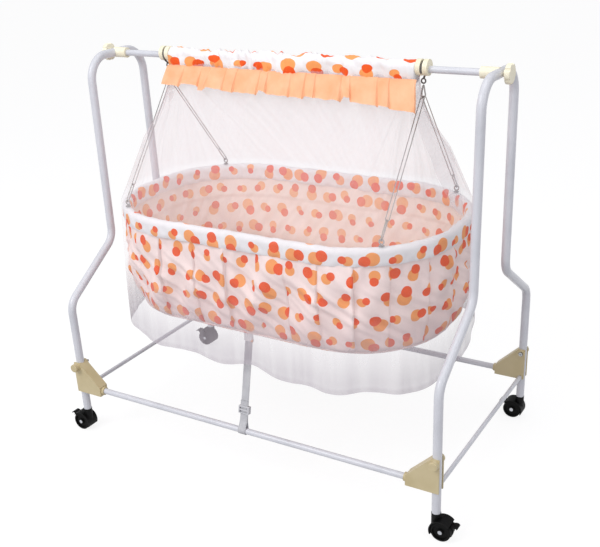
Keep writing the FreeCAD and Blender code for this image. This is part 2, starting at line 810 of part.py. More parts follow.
# ---- write every piece ---------------------------------------------------------------------------------
for name, side in (("left", -1), ("right", 1)):
    save("end_frame_" + name, end_frame(side))
    save("cross_rail_" + name, cross_rail(side))
    ends = {"bar_socket": bar_socket(), "hand_knob": hand_knob(), "knob_bolt": knob_bolt(),
            "swing_bush": bush(), "swing_hook": hook(side)}
    for part_name, solid in ends.items():
        save(part_name + "_" + name, solid if side > 0 else mirrored(solid, X))
save("top_bar", top_bar())
save("bar_nuts", bar_nut(), mirrored(bar_nut(), X))
save("base_rail_front", base_rail(-foot_half))
save("base_rail_rear", base_rail(foot_half))

corners = {"front_left": (-1, -1, 180), "front_right": (1, -1, 0),
           "rear_left": (-1, 1, 180), "rear_right": (1, 1, 180)}
bolts, nuts, caps, sockets = [], [], [], []
for name, (side_x, side_y, heading) in corners.items():
    foot = V(side_x * frame_x, side_y * foot_half, 0)
    bracket = corner_bracket()
    if side_x > 0:
        bracket = mirrored(bracket, X)
    if side_y > 0:
        bracket = mirrored(bracket, Y)
    bracket.translate(foot.add(Z * rail_z))
    save("corner_bracket_" + name, bracket)
    bolt_place = foot.add(Z * (rail_z + bolt_rise))
    for group, piece in ((bolts, clamp_bolt()), (nuts, clamp_nut())):
        piece.translate(bolt_place)
        group.append(piece)
    if side_y < 0:
        cap = bolt_cap()
        cap.translate(bolt_place)
        caps.append(cap)
    socket = stem_socket()
    socket.translate(foot)
    sockets.append(socket)
    caster = {"caster_housing": [caster_housing()], "caster_pins": caster_pins(),
              "caster_wheels": caster_wheels(), "brake_lever": [brake_lever()]}
    for part_name, solids in caster.items():
        for solid in solids:
            solid.rotate(V(0, 0, 0), Z, heading)
            solid.translate(foot)
        save(part_name + "_" + name, *solids)
save("clamp_bolts", *bolts)
save("clamp_nuts", *nuts)
save("bolt_caps", *caps)
save("stem_sockets", *sockets)

for label, make in (("long_links", long_link), ("short_links", short_link), ("rim_eyes", rim_eye)):
    pair = [make(-1), make(1)]
    save(label, *pair, *[mirrored(piece, X) for piece in pair])
save("link_rings", ring(), mirrored(ring(), X))
save("rim_tube", rim_tube)
save("rim_band", rim_band())
save("outer_skirt", outer_skirt())
save("basket_lining", basket_lining())
save("floor_hoop", floor_hoop())
save("floor_board", floor_board())
save("mattress", mattress())
save("bar_sleeve", bar_sleeve())
save("valance", valance())
save("mosquito_net", net())
save("lock_strap", strap())
save("strap_tab", strap_tab())
save("strap_buckle", strap_buckle())
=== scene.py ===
import math
import bpy
import bmesh
import numpy as np
from mathutils import Matrix, Vector, noise


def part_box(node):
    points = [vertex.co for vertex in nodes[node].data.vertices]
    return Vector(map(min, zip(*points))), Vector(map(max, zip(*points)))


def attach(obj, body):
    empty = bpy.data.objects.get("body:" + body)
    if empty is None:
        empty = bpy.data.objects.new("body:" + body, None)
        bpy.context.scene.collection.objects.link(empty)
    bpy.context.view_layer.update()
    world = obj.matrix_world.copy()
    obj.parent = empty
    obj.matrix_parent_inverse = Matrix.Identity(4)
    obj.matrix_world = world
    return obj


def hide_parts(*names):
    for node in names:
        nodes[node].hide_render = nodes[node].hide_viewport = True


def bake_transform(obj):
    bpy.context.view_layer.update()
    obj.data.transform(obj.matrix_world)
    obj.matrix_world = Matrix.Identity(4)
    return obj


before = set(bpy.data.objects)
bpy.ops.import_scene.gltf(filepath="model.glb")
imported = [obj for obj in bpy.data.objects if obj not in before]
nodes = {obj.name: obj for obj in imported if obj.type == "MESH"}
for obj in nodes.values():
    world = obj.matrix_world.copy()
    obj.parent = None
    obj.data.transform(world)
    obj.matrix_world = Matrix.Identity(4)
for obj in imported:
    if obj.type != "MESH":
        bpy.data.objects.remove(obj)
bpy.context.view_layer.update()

scene = bpy.context.scene

# ---- studio ------------------------------------------------------------------------------------------
# A pale seamless floor under a large soft key light from the front left, a weaker light from
# the right and an even sky.


def srgb(code):
    """A six-digit colour as the linear red, green, blue and alpha that shaders use."""
    parts = [int(code[i:i + 2], 16) / 255 for i in (0, 2, 4)]
    return [c / 12.92 if c <= 0.04045 else ((c + 0.055) / 1.055) ** 2.4 for c in parts] + [1.0]


def add(tree, kind, inputs=(), **settings):
    """A shader node: settings are its own options, inputs its sockets, linked or set."""
    node = tree.nodes.new("ShaderNode" + kind)
    for name, value in settings.items():
        setattr(node, name, value)
    for key, value in dict(inputs).items():
        if isinstance(value, bpy.types.NodeSocket):
            tree.links.new(value, node.inputs[key])
        else:
            node.inputs[key].default_value = value
    return node


def new_material(name):
    material = bpy.data.materials.new(name)
    material.use_nodes = True
    material.node_tree.nodes.clear()
    return material, material.node_tree


def finished(tree, **inputs):
    """Closes a material with one Principled shader, whose sockets are named with underscores."""
    sockets = {name.replace("_", " "): value for name, value in inputs.items()}
    shader = add(tree, "BsdfPrincipled", sockets)
    add(tree, "OutputMaterial", {"Surface": shader.outputs[0]})


camera_data = bpy.data.cameras.new("camera")
camera_data.sensor_fit = "HORIZONTAL"
camera_data.sensor_width = 36.0
camera_data.lens = 54.85
camera_data.shift_x = -0.01824
camera_data.shift_y = 0.07126
camera = bpy.data.objects.new("camera", camera_data)
scene.collection.objects.link(camera)
azimuth, elevation, roll = 0.541594, 0.430767, -0.0430255
ahead = Vector((-math.sin(azimuth) * math.cos(elevation),
                math.cos(azimuth) * math.cos(elevation), -math.sin(elevation)))
level = Vector((math.cos(azimuth), math.sin(azimuth), 0))
upright = level.cross(ahead)
right = math.cos(roll) * level + math.sin(roll) * upright
up = math.cos(roll) * upright - math.sin(roll) * level
camera.matrix_world = (Matrix.Translation((1.04750, -1.68289, 1.20166))
                       @ Matrix((right, up, -ahead)).transposed().to_4x4())
scene.camera = camera

floor_mesh = bpy.data.meshes.new("studio_floor")
floor_mesh.from_pydata([(-30, -30, 0), (30, -30, 0), (30, 30, 0), (-30, 30, 0)], [], [(0, 1, 2, 3)])
floor = bpy.data.objects.new("studio_floor", floor_mesh)
scene.collection.objects.link(floor)
pale_floor, tree = new_material("pale_floor")
path = add(tree, "LightPath")
shiny = add(tree, "Math", {0: path.outputs["Is Glossy Ray"], 1: path.outputs["Is Transmission Ray"]},
            operation="MAXIMUM")
seen = add(tree, "Math", {0: path.outputs["Is Camera Ray"], 1: shiny.outputs[0]}, operation="MAXIMUM")
glow = add(tree, "Math", {0: seen.outputs[0], 1: 0.85}, operation="MULTIPLY")
ground = add(tree, "Mix", {0: seen.outputs[0], 6: srgb("A6A6AA"), 7: srgb("7C7C7E")}, data_type="RGBA")
finished(tree, Base_Color=ground.outputs[2], Roughness=0.9, Specular_IOR_Level=0.0,
         Emission_Color=srgb("FFFFFF"), Emission_Strength=glow.outputs[0])
floor_mesh.materials.append(pale_floor)

world = bpy.data.worlds.new("soft_sky")
scene.world = world
world.use_nodes = True
world.node_tree.nodes.clear()
path = add(world.node_tree, "LightPath")
power = add(world.node_tree, "MapRange", {0: path.outputs["Is Camera Ray"], 3: 0.62, 4: 1.0})
sky = add(world.node_tree, "Background", {"Color": srgb("FCFCFD"), "Strength": power.outputs[0]})
add(world.node_tree, "OutputWorld", {"Surface": sky.outputs[0]})

for name, place, size, energy in (("key_light", (-1.3, -2.4, 2.5), 1.6, 40),
                                  ("front_light", (0.7, -3.2, 0.9), 2.0, 15),
                                  ("side_light", (2.6, -0.6, 1.7), 1.4, 8),
                                  ("top_light", (0.1, -0.3, 2.9), 1.8, 12)):
    lamp = bpy.data.lights.new(name, "AREA")
    lamp.size = size
    lamp.energy = energy
    lamp_object = bpy.data.objects.new(name, lamp)
    lamp_object.location = place
    lamp_object.rotation_euler = (Vector((0, 0, 0.5)) - Vector(place)).to_track_quat("-Z", "Y").to_euler()
    scene.collection.objects.link(lamp_object)
scene.view_settings.view_transform = "Standard"

# ---- stand: tubes ------------------------------------------------------------------------------------
# Bent and straight steel tubes under a white powder coat, whose fine orange peel shows in the
# highlights and which is a little greyer where hands and rails rub it.


def dress(material, *names):
    """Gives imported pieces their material."""
    for name in names:
        for place in nodes[name].material_slots:
            place.material = material


def solid_material(name, base, worn, grain, depth, rough, metal=0.0, coat=0.0, shine=0.5):
    """A hard surface: colour drifts from base to worn, over a grain of that size in metres."""
    material, tree = new_material(name)
    where = add(tree, "TexCoord").outputs["Object"]
    drift = add(tree, "TexNoise", {"Vector": where, "Scale": 14.0, "Detail": 4.0})
    fine = add(tree, "TexNoise", {"Vector": where, "Scale": 1.0 / grain, "Detail": 2.0})
    share = add(tree, "MapRange", {0: drift.outputs[0], 1: 0.45, 2: 0.75})
    colour = add(tree, "Mix", {0: share.outputs[0], 6: srgb(base), 7: srgb(worn)}, data_type="RGBA")
    gloss = add(tree, "MapRange", {0: fine.outputs[0], 1: 0.3, 2: 0.7, 3: rough - 0.06, 4: rough + 0.08})
    bump = add(tree, "Bump", {"Strength": 0.5, "Distance": depth, "Height": fine.outputs[0]})
    finished(tree, Base_Color=colour.outputs[2], Roughness=gloss.outputs[0], Metallic=metal,
             Specular_IOR_Level=shine, Coat_Weight=coat, Coat_Roughness=0.2, Normal=bump.outputs[0])
    return material


powder_coat = solid_material("white_powder_coat", "D9DAE2", "CCCED6", 0.0016, 0.00006, 0.3, coat=0.25)
dress(powder_coat, "end_frame_left", "end_frame_right", "cross_rail_left", "cross_rail_right",
      "base_rail_front", "base_rail_rear", "top_bar", "rim_tube")

# ---- stand: plastic fittings -------------------------------------------------------------------------
# Cream polypropylene mouldings: sockets and knobs of the top bar, corner brackets and their
# caps, leg plugs, and the bushes that the basket's hooks swing on.
cream = solid_material("cream_polypropylene", "FBF4DC", "F3EACB", 0.0009, 0.00005, 0.38)
# The corner brackets and bolt caps are the same cream plastic as the sockets, knobs and bushes; their darker
# copy of it is painted shade.
painted_shade_cream = solid_material("cream_polypropylene_painted_shade", "D0C19B", "C2B288", 0.0009, 0.00006, 0.42)
dress(cream, "bar_socket_left", "bar_socket_right", "hand_knob_left", "hand_knob_right",
      "swing_bush_left", "swing_bush_right")
dress(painted_shade_cream, "bolt_caps", "corner_bracket_front_left", "corner_bracket_front_right",
      "corner_bracket_rear_left", "corner_bracket_rear_right")

# ---- casters -----------------------------------------------------------------------------------------
# Twin-wheel furniture casters: hooded black nylon housings, black polypropylene wheels with a
# matt tread, a brake pedal, and bright steel pins.
housing_nylon = solid_material("black_nylon", "020203", "060607", 0.0007, 0.00005, 0.55, shine=0.18)
wheel_plastic = solid_material("black_wheel_plastic", "020202", "070708", 0.0012, 0.00008, 0.65, shine=0.15)
pin_steel = solid_material("bright_pin_steel", "B9BBC0", "A4A6AC", 0.0004, 0.00002, 0.28, metal=1.0)
for corner in ("front_left", "front_right", "rear_left", "rear_right"):
    dress(housing_nylon, "caster_housing_" + corner, "brake_lever_" + corner)
    dress(wheel_plastic, "caster_wheels_" + corner)
    dress(pin_steel, "caster_pins_" + corner)
dress(housing_nylon, "stem_sockets")

# ---- screws, hooks and links -------------------------------------------------------------------------
# Zinc-plated screws and yellow passivated nuts; dark spring-steel hooks over the bushes; and
# nickel-plated rings, wire links and rim eyes that carry the basket.
zinc_screw = solid_material("zinc_screw", "B6B7BA", "9C9DA0", 0.0006, 0.00003, 0.34, metal=1.0)
yellow_zinc = solid_material("yellow_zinc_nut", "C8B070", "A88C48", 0.0006, 0.00003, 0.36, metal=1.0)
spring_steel = solid_material("dark_spring_steel", "6E6A68", "4C4847", 0.0005, 0.00003, 0.33, metal=1.0)
nickel_wire = solid_material("nickel_plated_wire", "B2B0AE", "8A8886", 0.0005, 0.00002, 0.27, metal=1.0)
dress(zinc_screw, "clamp_bolts", "knob_bolt_left", "knob_bolt_right", "bar_nuts")
dress(yellow_zinc, "clamp_nuts")
dress(spring_steel, "swing_hook_left", "swing_hook_right")
dress(nickel_wire, "link_rings", "long_links", "short_links", "rim_eyes")

# ---- basket: floor hoop and board --------------------------------------------------------------------
# The basket's floor is a brown hardboard plate on a round steel hoop, both hidden between the
# outer skirt and the lining.
hardboard = solid_material("hardboard", "8A6A48", "6E5236", 0.0011, 0.0001, 0.7)
hoop_wire = solid_material("hoop_wire", "A9A7A3", "807C78", 0.0006, 0.00003, 0.35, metal=1.0)
dress(hardboard, "floor_board")
dress(hoop_wire, "floor_hoop")

# ---- basket: rim band --------------------------------------------------------------------------------
# A band of the printed cotton folded over the rim tube and sewn to the skirt below it.  It is
# stretched along the tube, so it puckers at the seam and round the four link eyes.
rim_low, rim_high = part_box("rim_tube")
rim_r = 0.008
rim_z = (rim_low.z + rim_high.z) / 2
rim_a = rim_high.x - rim_r
rim_b = rim_high.y - rim_r
rim_corner = 0.211
rim_length = 4 * (rim_a + rim_b - 2 * rim_corner) + 2 * math.pi * rim_corner


def around(s, out=0.0, half_x=rim_a, half_y=rim_b, corner=rim_corner):
    """Points of an oblong outline out from its base line, and their outward directions.

    s is the length along the rim tube's axis from the middle of the rear side, through the
    left end and the front; another outline keeps the same headings at each s.
    """
    ex, ey = rim_a - rim_corner, rim_b - rim_corner
    arc = rim_corner * math.pi / 2
    stops = np.cumsum([0, ex, arc, 2 * ey, arc, 2 * ex, arc, 2 * ey, arc, ex])
    heading = np.interp(s, stops, np.radians([90, 90, 180, 180, 270, 270, 360, 360, 450, 450]))
    cx, cy = half_x - corner, half_y - corner
    x = np.interp(s, stops, [0, -cx, -cx, -cx, -cx, cx, cx, cx, cx, 0])
    y = np.interp(s, stops, [cy, cy, cy, -cy, -cy, -cy, -cy, cy, cy, cy])
    normal = np.stack([np.cos(heading), np.sin(heading)], -1)
    return np.stack([x, y], -1) + normal * (corner + np.asarray(out)[..., None]), normal


def ripple(u, v, seed, across, along):
    """Smooth random waves from -1 to 1, with one length across u and another along v."""
    flat = [noise.noise((a / across, b / along, seed)) for a, b in zip(np.ravel(u), np.ravel(v))]
    return np.array(flat).reshape(np.shape(u)) * 1.6


def rim_ripple(s, v, seed, across, along):
    """The same waves round the rim, so that they meet where its outline closes."""
    reach = rim_length / (2 * math.pi * across)
    turns = 2 * math.pi * np.ravel(s) / rim_length
    flat = [noise.noise((reach * math.cos(a), reach * math.sin(a), b / along + seed))
            for a, b in zip(turns, np.ravel(v))]
    return np.array(flat).reshape(np.shape(s)) * 1.6


def cloth_piece(name, points, cloth, material):
    """A mesh of rows and columns of points; the uv map has each point's place on the flat cloth."""
    rows, columns = points.shape[:2]
    index = np.arange(rows * columns).reshape(rows, columns)
    faces = np.stack([index[:-1, :-1], index[:-1, 1:], index[1:, 1:], index[1:, :-1]], -1)
    mesh = bpy.data.meshes.new(name)
    mesh.from_pydata(points.reshape(-1, 3).tolist(), [], faces.reshape(-1, 4).tolist())
    corners = np.empty(len(mesh.loops), int)
    mesh.loops.foreach_get("vertex_index", corners)
    layer = mesh.uv_layers.new(name="cloth")
    layer.data.foreach_set("uv", cloth.reshape(-1, 2)[corners].astype(np.float32).ravel())
    mesh.polygons.foreach_set("use_smooth", [True] * len(mesh.polygons))
    shaped = bmesh.new()
    shaped.from_mesh(mesh)
    bmesh.ops.remove_doubles(shaped, verts=shaped.verts, dist=1e-6)
    shaped.to_mesh(mesh)
    shaped.free()
    mesh.materials.append(material)
    piece = bpy.data.objects.new(name, mesh)
    scene.collection.objects.link(piece)
    return piece


def dot_print(tree, cloth, ground, light, dark):
    """Pairs of overlapping round dots, a light one and a dark one, one pair to a cell of cloth."""
    cells_round = 43
    cell = rim_length / cells_round
    spread = add(tree, "VectorMath", {0: cloth, 1: (1 / cell, 1 / cell, 0)}, operation="MULTIPLY")
    xyz = add(tree, "SeparateXYZ", {0: spread.outputs[0]})
    row = add(tree, "Math", {0: xyz.outputs[1]}, operation="FLOOR")
    shifted = add(tree, "Math", {0: row.outputs[0], 1: 0.38, 2: xyz.outputs[0]},
                  operation="MULTIPLY_ADD")
    column = add(tree, "Math", {0: shifted.outputs[0]}, operation="FLOOR")
    place = add(tree, "CombineXYZ", {0: shifted.outputs[0], 1: xyz.outputs[1]})
    corner = add(tree, "CombineXYZ", {0: column.outputs[0], 1: row.outputs[0]})
    inside = add(tree, "VectorMath", {0: place.outputs[0], 1: corner.outputs[0]}, operation="SUBTRACT")
    again = add(tree, "Math", {0: column.outputs[0], 1: cells_round}, operation="FLOORED_MODULO")
    key = add(tree, "CombineXYZ", {0: again.outputs[0], 1: row.outputs[0]})
    chance = add(tree, "TexWhiteNoise", {"Vector": key.outputs[0]}, noise_dimensions="3D")
    jitter = add(tree, "VectorMath", {0: chance.outputs["Color"], 1: (0.14, 0.14, 0), 2: (0.43, 0.43, 0)},
                 operation="MULTIPLY_ADD")
    offset = add(tree, "VectorMath", {0: inside.outputs[0], 1: jitter.outputs[0]}, operation="SUBTRACT")
    parts = add(tree, "SeparateColor", {0: chance.outputs["Color"]})
    size = add(tree, "MapRange", {0: parts.outputs[2], 1: 0.2, 2: 0.75, 3: 0.62, 4: 1.0})
    turn = add(tree, "Math", {0: chance.outputs["Value"], 1: 2 * math.pi}, operation="MULTIPLY")
    east = add(tree, "Math", {0: turn.outputs[0]}, operation="COSINE")
    north = add(tree, "Math", {0: turn.outputs[0]}, operation="SINE")
    heading = add(tree, "CombineXYZ", {0: east.outputs[0], 1: north.outputs[0]})
    colour = add(tree, "RGB").outputs[0]
    colour.default_value = srgb(ground)
    for side, radius, paint in ((0.13, 0.30, light), (-0.18, 0.235, dark)):
        reach = add(tree, "Math", {0: size.outputs[0], 1: side}, operation="MULTIPLY")
        arm = add(tree, "VectorMath", {0: heading.outputs[0], "Scale": reach.outputs[0]},
                  operation="SCALE")
        away = add(tree, "VectorMath", {0: offset.outputs[0], 1: arm.outputs[0]}, operation="DISTANCE")
        edge = add(tree, "Math", {0: size.outputs[0], 1: radius}, operation="MULTIPLY")
        depth = add(tree, "Math", {0: edge.outputs[0], 1: away.outputs["Value"]}, operation="SUBTRACT")
        mask = add(tree, "MapRange", {0: depth.outputs[0], 1: -0.008, 2: 0.008})
        colour = add(tree, "Mix", {0: mask.outputs[0], 6: colour, 7: srgb(paint)},
                     data_type="RGBA").outputs[2]
    return colour


def cotton(name, ground, light, dark, crumple=0.0012, rough=0.8):
    """Thin plain-woven cotton with the dot print, its thread and its fine creases."""
    material, tree = new_material(name)
    cloth = add(tree, "UVMap", uv_map="cloth").outputs[0]
    colour = dot_print(tree, cloth, ground, light, dark)
    stain = add(tree, "TexNoise", {"Vector": cloth, "Scale": 9.0, "Detail": 3.0})
    tone = add(tree, "MapRange", {0: stain.outputs[0], 1: 0.3, 2: 0.7, 3: 0.95, 4: 1.0})
    shaded = add(tree, "VectorMath", {0: colour, "Scale": tone.outputs[0]}, operation="SCALE")
    thread = 0.314 / 0.0007
    warp = add(tree, "TexWave", {"Vector": cloth, "Scale": thread}, bands_direction="X")
    weft = add(tree, "TexWave", {"Vector": cloth, "Scale": thread}, bands_direction="Y")
    weave = add(tree, "Math", {0: warp.outputs["Fac"], 1: weft.outputs["Fac"]}, operation="MULTIPLY")
    gloss = add(tree, "MapRange", {0: weave.outputs[0], 3: rough + 0.06, 4: rough - 0.06})
    creases = add(tree, "TexNoise", {"Vector": cloth, "Scale": 34.0, "Detail": 2.0, "Distortion": 0.8})
    soft = add(tree, "Bump", {"Strength": 0.7, "Distance": crumple, "Height": creases.outputs[0]})
    bump = add(tree, "Bump", {"Strength": 0.35, "Distance": 0.0001, "Height": weave.outputs[0],
                              "Normal": soft.outputs[0]})
    finished(tree, Base_Color=shaded.outputs[0], Roughness=gloss.outputs[0], Sheen_Weight=0.12,
             Specular_IOR_Level=0.3, Normal=bump.outputs[0])
    return material


printed_cotton = cotton("printed_cotton", "F6F4F7", "FFA964", "F65E20")
eye_low, eye_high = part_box("rim_eyes")
eye_x = eye_high.x - 0.0065
eye_y = eye_high.y - 0.006
s = np.linspace(0, rim_length, 560)
leg = np.linspace(-0.025, 0, 9)
arch = np.linspace(0, math.pi, 17)[1:-1]
band_out = np.concatenate([0.0108 + 0 * leg, 0.0108 * np.cos(arch), -0.0108 + 0 * leg])
band_z = np.concatenate([leg, 0.0128 * np.sin(arch), leg[::-1]])
tuck = np.clip((-0.015 - band_z) / 0.010, 0, 1)
band_out = band_out - np.sign(band_out) * 0.0026 * tuck ** 2
S, OUT = np.meshgrid(s, band_out)
Z = np.meshgrid(s, band_z)[1]
way = np.cumsum(np.hypot(np.diff(band_out, prepend=band_out[0]), np.diff(band_z, prepend=band_z[0])))
WAY = np.meshgrid(s, way)[1]
xy, normal = around(S)
calm = np.ones_like(S)
for sx in (-1, 1):
    for sy in (-1, 1):
        near = np.hypot(xy[..., 0] - sx * eye_x, xy[..., 1] - sy * eye_y)
        calm = np.minimum(calm, np.clip(near / 0.03 - 0.25, 0, 1))
seam = np.clip((-Z - 0.002) / 0.023, 0, 1)
pucker = 0.0021 * seam * rim_ripple(S - 0.5 * WAY, WAY, 3.1, 0.010, 0.04)
fold = 0.0030 * rim_ripple(S + 0.9 * WAY, WAY, 7.7, 0.024, 0.06) * (0.35 + 0.65 * seam)
swell = 1 + calm * (pucker + fold - 0.0006) / 0.0125
squeezed = 1 - 0.07 * (1 - calm)
xy, normal = around(S, OUT * swell)
rise = np.where(Z > 0, Z * swell * squeezed, Z - 0.0012 * rim_ripple(S, 0 * S, 5.3, 0.12, 1.0) * seam)
band_points = np.concatenate([xy, (rim_z + rise)[..., None]], -1)
rim_band = cloth_piece("rim_band_cloth", band_points, np.stack([S, WAY + 0.011], -1), printed_cotton)
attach(rim_band, "cradle")
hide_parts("rim_band")

# ---- basket: outer skirt -----------------------------------------------------------------------------
# The printed wall of the basket, gathered into knife pleats under the rim band and hanging to
# the floor panel, with a corded seam where the two meet.  It bellies out a little at the foot.
skirt_low, skirt_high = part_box("outer_skirt")
band_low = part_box("rim_band")[0].z
skirt_top = band_low + 0.006
pleats = []
at = 0.02
while at < rim_length - 0.05:
    pleats.append(at)
    at += 0.082 + 0.026 * noise.noise((at * 9.1, 4.4, 0))
pleats = np.array(pleats)
fine = np.linspace(0, rim_length, 620)
s = np.unique(np.concatenate([fine, pleats - 0.0012, pleats, pleats + 0.0012]))
which = np.clip(np.searchsorted(pleats, s, side="right") - 1, 0, len(pleats) - 1)
start = np.where(s < pleats[0], pleats[-1] - rim_length, pleats[which])
finish = np.where(s < pleats[0], pleats[0], np.append(pleats[1:], pleats[0] + rim_length)[which])
share = (s - start) / (finish - start)
panel = np.where(s < pleats[0], len(pleats) - 1, which)
lift = np.minimum(share, (finish - s) / 0.0015)
down = np.linspace(0, 1, 54)
S, V_ = np.meshgrid(s, down)
LIFT = np.meshgrid(lift, down)[0]
PANEL = np.meshgrid(panel, down)[0]
SHARE = np.meshgrid(share, down)[0]
z = skirt_top + (skirt_low.z + 0.0008 - skirt_top) * V_
taper = 0.0055 - 0.0030 * np.exp(-V_ / 0.05) - 0.0185 * V_ + 0.0075 * np.sin(math.pi * np.clip(V_, 0, 1)) ** 1.5
foot = np.clip((V_ - 0.93) / 0.07, 0, 1)
grow = np.clip(V_ / 0.25, 0.15, 1) * (1 - 0.45 * V_) * (1 - 0.8 * foot)
depth = np.clip(0.0065 + 0.0085 * ripple(PANEL * 0.7, 0 * S, 1.7, 1.0, 1.0), 0.0012, 0.014)
slump = 0.0095 * rim_ripple(S + 0.07 * V_, V_ * 0.2, 9.2, 0.058, 0.15) * np.sin(math.pi * V_) ** 0.6
drag = 0.0048 * rim_ripple(S - 0.30 * V_, V_ * 0.2, 2.6, 0.026, 0.06) * np.sin(math.pi * V_) ** 0.8
gathers = 0.0034 * rim_ripple(S, V_ * 0.2, 6.4, 0.013, 0.12) * np.exp(-V_ / 0.16) * np.clip(V_ / 0.05, 0, 1)
out = taper + grow * depth * LIFT + slump + drag + gathers - 0.006 * foot ** 2
xy, normal = around(S, out)
sag = -0.004 * np.sin(math.pi * SHARE) * V_ * (1 - foot)
skirt_points = np.concatenate([xy, (z + sag)[..., None]], -1)
taken = 0.016 * PANEL
skirt_cloth = np.stack([S + taken, V_ * (skirt_top - skirt_low.z) + 0.2], -1)
# The skirt's copy of the print has a pinker ground than the band's: partly the pink lining showing through the
# thin cotton, partly a painted warm glow and shade.
skirt_cotton_painted_pink_glow = cotton("skirt_cotton_painted_pink_glow", "FFEBE8", "FFA760", "F55B20")
skirt = cloth_piece("skirt_cloth", skirt_points, skirt_cloth, skirt_cotton_painted_pink_glow)
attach(skirt, "cradle")
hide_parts("outer_skirt")

s = np.linspace(0, rim_length, 280)
shrink = np.concatenate([np.linspace(1, 0.9, 6), np.linspace(0.82, 0, 12)])
S, K = np.meshgrid(s, shrink)
xy, normal = around(S, -0.0185)
base = xy * K[..., None]
z = skirt_low.z + 0.0006 - 0.0016 * np.sqrt(1 - K ** 2) + 0.0006 * ripple(base[..., 0], base[..., 1],
                                                                    6.1, 0.05, 0.05)
base_points = np.concatenate([base, z[..., None]], -1)
base_cloth = cloth_piece("basket_base_cloth", base_points, base + 0.7, skirt_cotton_painted_pink_glow)
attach(base_cloth, "cradle")

s = np.linspace(0, rim_length, 420)
turn = np.linspace(0, 2 * math.pi, 9)
S, T = np.meshgrid(s, turn)
xy, normal = around(S, -0.0170 + 0.0019 * np.cos(T) + 0.0006 * rim_ripple(S, 0 * S, 8.8, 0.05, 1.0))
z = skirt_low.z + 0.0012 + 0.0019 * np.sin(T) + 0.0007 * rim_ripple(S, 0 * S, 4.2, 0.07, 1.0)
cording = cloth_piece("skirt_cording", np.concatenate([xy, z[..., None]], -1),
                      np.stack([S, T * 0.0019], -1), skirt_cotton_painted_pink_glow)
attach(cording, "cradle")

# ---- basket: lining ----------------------------------------------------------------------------------
# The same print on a thin pink-tinted cotton.  A turned facing hangs from the rim to a seam, and
# the wall below it puckers and runs on under the mattress.
printed_lining = cotton("printed_pink_lining", "FFF1E9", "FFBA7C", "F67840", 0.001)
lining_low, lining_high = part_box("basket_lining")
s = np.linspace(0, rim_length, 460)
wall = np.linspace(0, 1, 40)
floor_rows = np.linspace(0, 1, 14)[1:]
S, V_ = np.meshgrid(s, wall)
z = skirt_top + (lining_low.z + 0.0026 - skirt_top) * V_
facing = np.clip((z - 0.497) / 0.004, 0, 1)
hollow = np.sin(math.pi * V_) ** 0.7
out = -0.0030 - 0.0185 * V_ - 0.0022 * facing
out = out - 0.0045 * hollow * (rim_ripple(S + 0.12 * V_, V_ * 0.19, 12.5, 0.045, 0.12) + 0.4)
out = out - 0.0022 * hollow * rim_ripple(S - 0.16 * V_, V_ * 0.19, 15.1, 0.018, 0.07)
out = out + 0.0016 * np.exp(-((z - 0.4965) / 0.0022) ** 2)
xy, normal = around(S, out)
wall_points = np.concatenate([xy, z[..., None]], -1)
lower, K = np.meshgrid(s, 1 - floor_rows)
xy, normal = around(lower, -0.0232)
ground = xy * K[..., None]
ground_z = np.full(K.shape, lining_low.z + 0.0009)
lining_points = np.concatenate([wall_points, np.concatenate([ground, ground_z[..., None]], -1)], 0)
lining_cloth = np.concatenate([np.stack([S, V_ * 0.19 + 0.5], -1), ground + 1.9], 0)
lining = cloth_piece("lining_cloth", lining_points, lining_cloth, printed_lining)
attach(lining, "cradle")
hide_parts("basket_lining")

# ---- basket: mattress --------------------------------------------------------------------------------
# A thin foam mattress in a printed slip cover.  The closed cover is blown up by a cloth
# simulation, then drawn in at the seam round its edge, and its top is softly dented.
pad_low, pad_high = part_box("mattress")
pad_middle = (pad_low.z + pad_high.z) / 2
pad_half = 0.8 * (pad_high.z - pad_low.z) / 2
pad_out = pad_high.x - rim_a
s = np.linspace(0, rim_length, 260)
edge = np.linspace(-math.pi / 2, math.pi / 2, 17)
inward = np.linspace(1, 0, 26)[1:]
rows = [(0.955 * k, -0.93 * pad_half) for k in inward[::-1]]
rows += [(1 - 0.045 * (1 - math.cos(a)), pad_half * 0.93 * math.sin(a)) for a in edge]
rows += [(0.955 * k, pad_half * (0.93 + 0.07 * (1 - k ** 4))) for k in inward]
K = np.array([r[0] for r in rows])
H = np.array([r[1] for r in rows])
S, KK = np.meshgrid(s, K)
HH = np.meshgrid(s, H)[1]
xy, normal = around(S, pad_out)
spot = xy * KK[..., None]
pad_points = np.concatenate([spot, (pad_middle + HH)[..., None]], -1)
pad_cloth = spot + np.where(HH > 0, 3.0, 4.0)[..., None]
mattress = cloth_piece("mattress_pad", pad_points, pad_cloth, printed_lining)


def vertex_points(mesh):
    flat = np.empty(3 * len(mesh.vertices))
    mesh.vertices.foreach_get("co", flat)
    return flat.reshape(-1, 3)


def evaluated_mesh(piece):
    return bpy.data.meshes.new_from_object(piece.evaluated_get(bpy.context.evaluated_depsgraph_get()))


def stuff(piece, voxel, pressure, cap):
    """Blows a closed cover up by a cloth simulation, in which no point moves more than cap."""
    evener = piece.modifiers.new("even_mesh", "REMESH")
    evener.mode = "VOXEL"
    evener.voxel_size = voxel
    slack = evaluated_mesh(piece)
    piece.modifiers.clear()
    piece.data = slack
    cover = piece.modifiers.new("stuffing", "CLOTH")
    cover.settings.use_pressure = True
    cover.settings.uniform_pressure_force = pressure
    cover.settings.effector_weights.gravity = 0
    for step in range(1, 21):
        scene.frame_set(step)
    resting = vertex_points(slack)
    move = vertex_points(evaluated_mesh(piece)) - resting
    piece.modifiers.clear()
    length = np.linalg.norm(move, axis=1)[:, None]
    settled = resting + move * np.minimum(1, cap / np.maximum(length, 1e-9))
    slack.vertices.foreach_set("co", settled.ravel())
    smoother = piece.modifiers.new("smooth_cover", "SUBSURF")
    smoother.levels = smoother.render_levels = 1
    piece.data = evaluated_mesh(piece)
    piece.modifiers.clear()
    scene.frame_set(1)


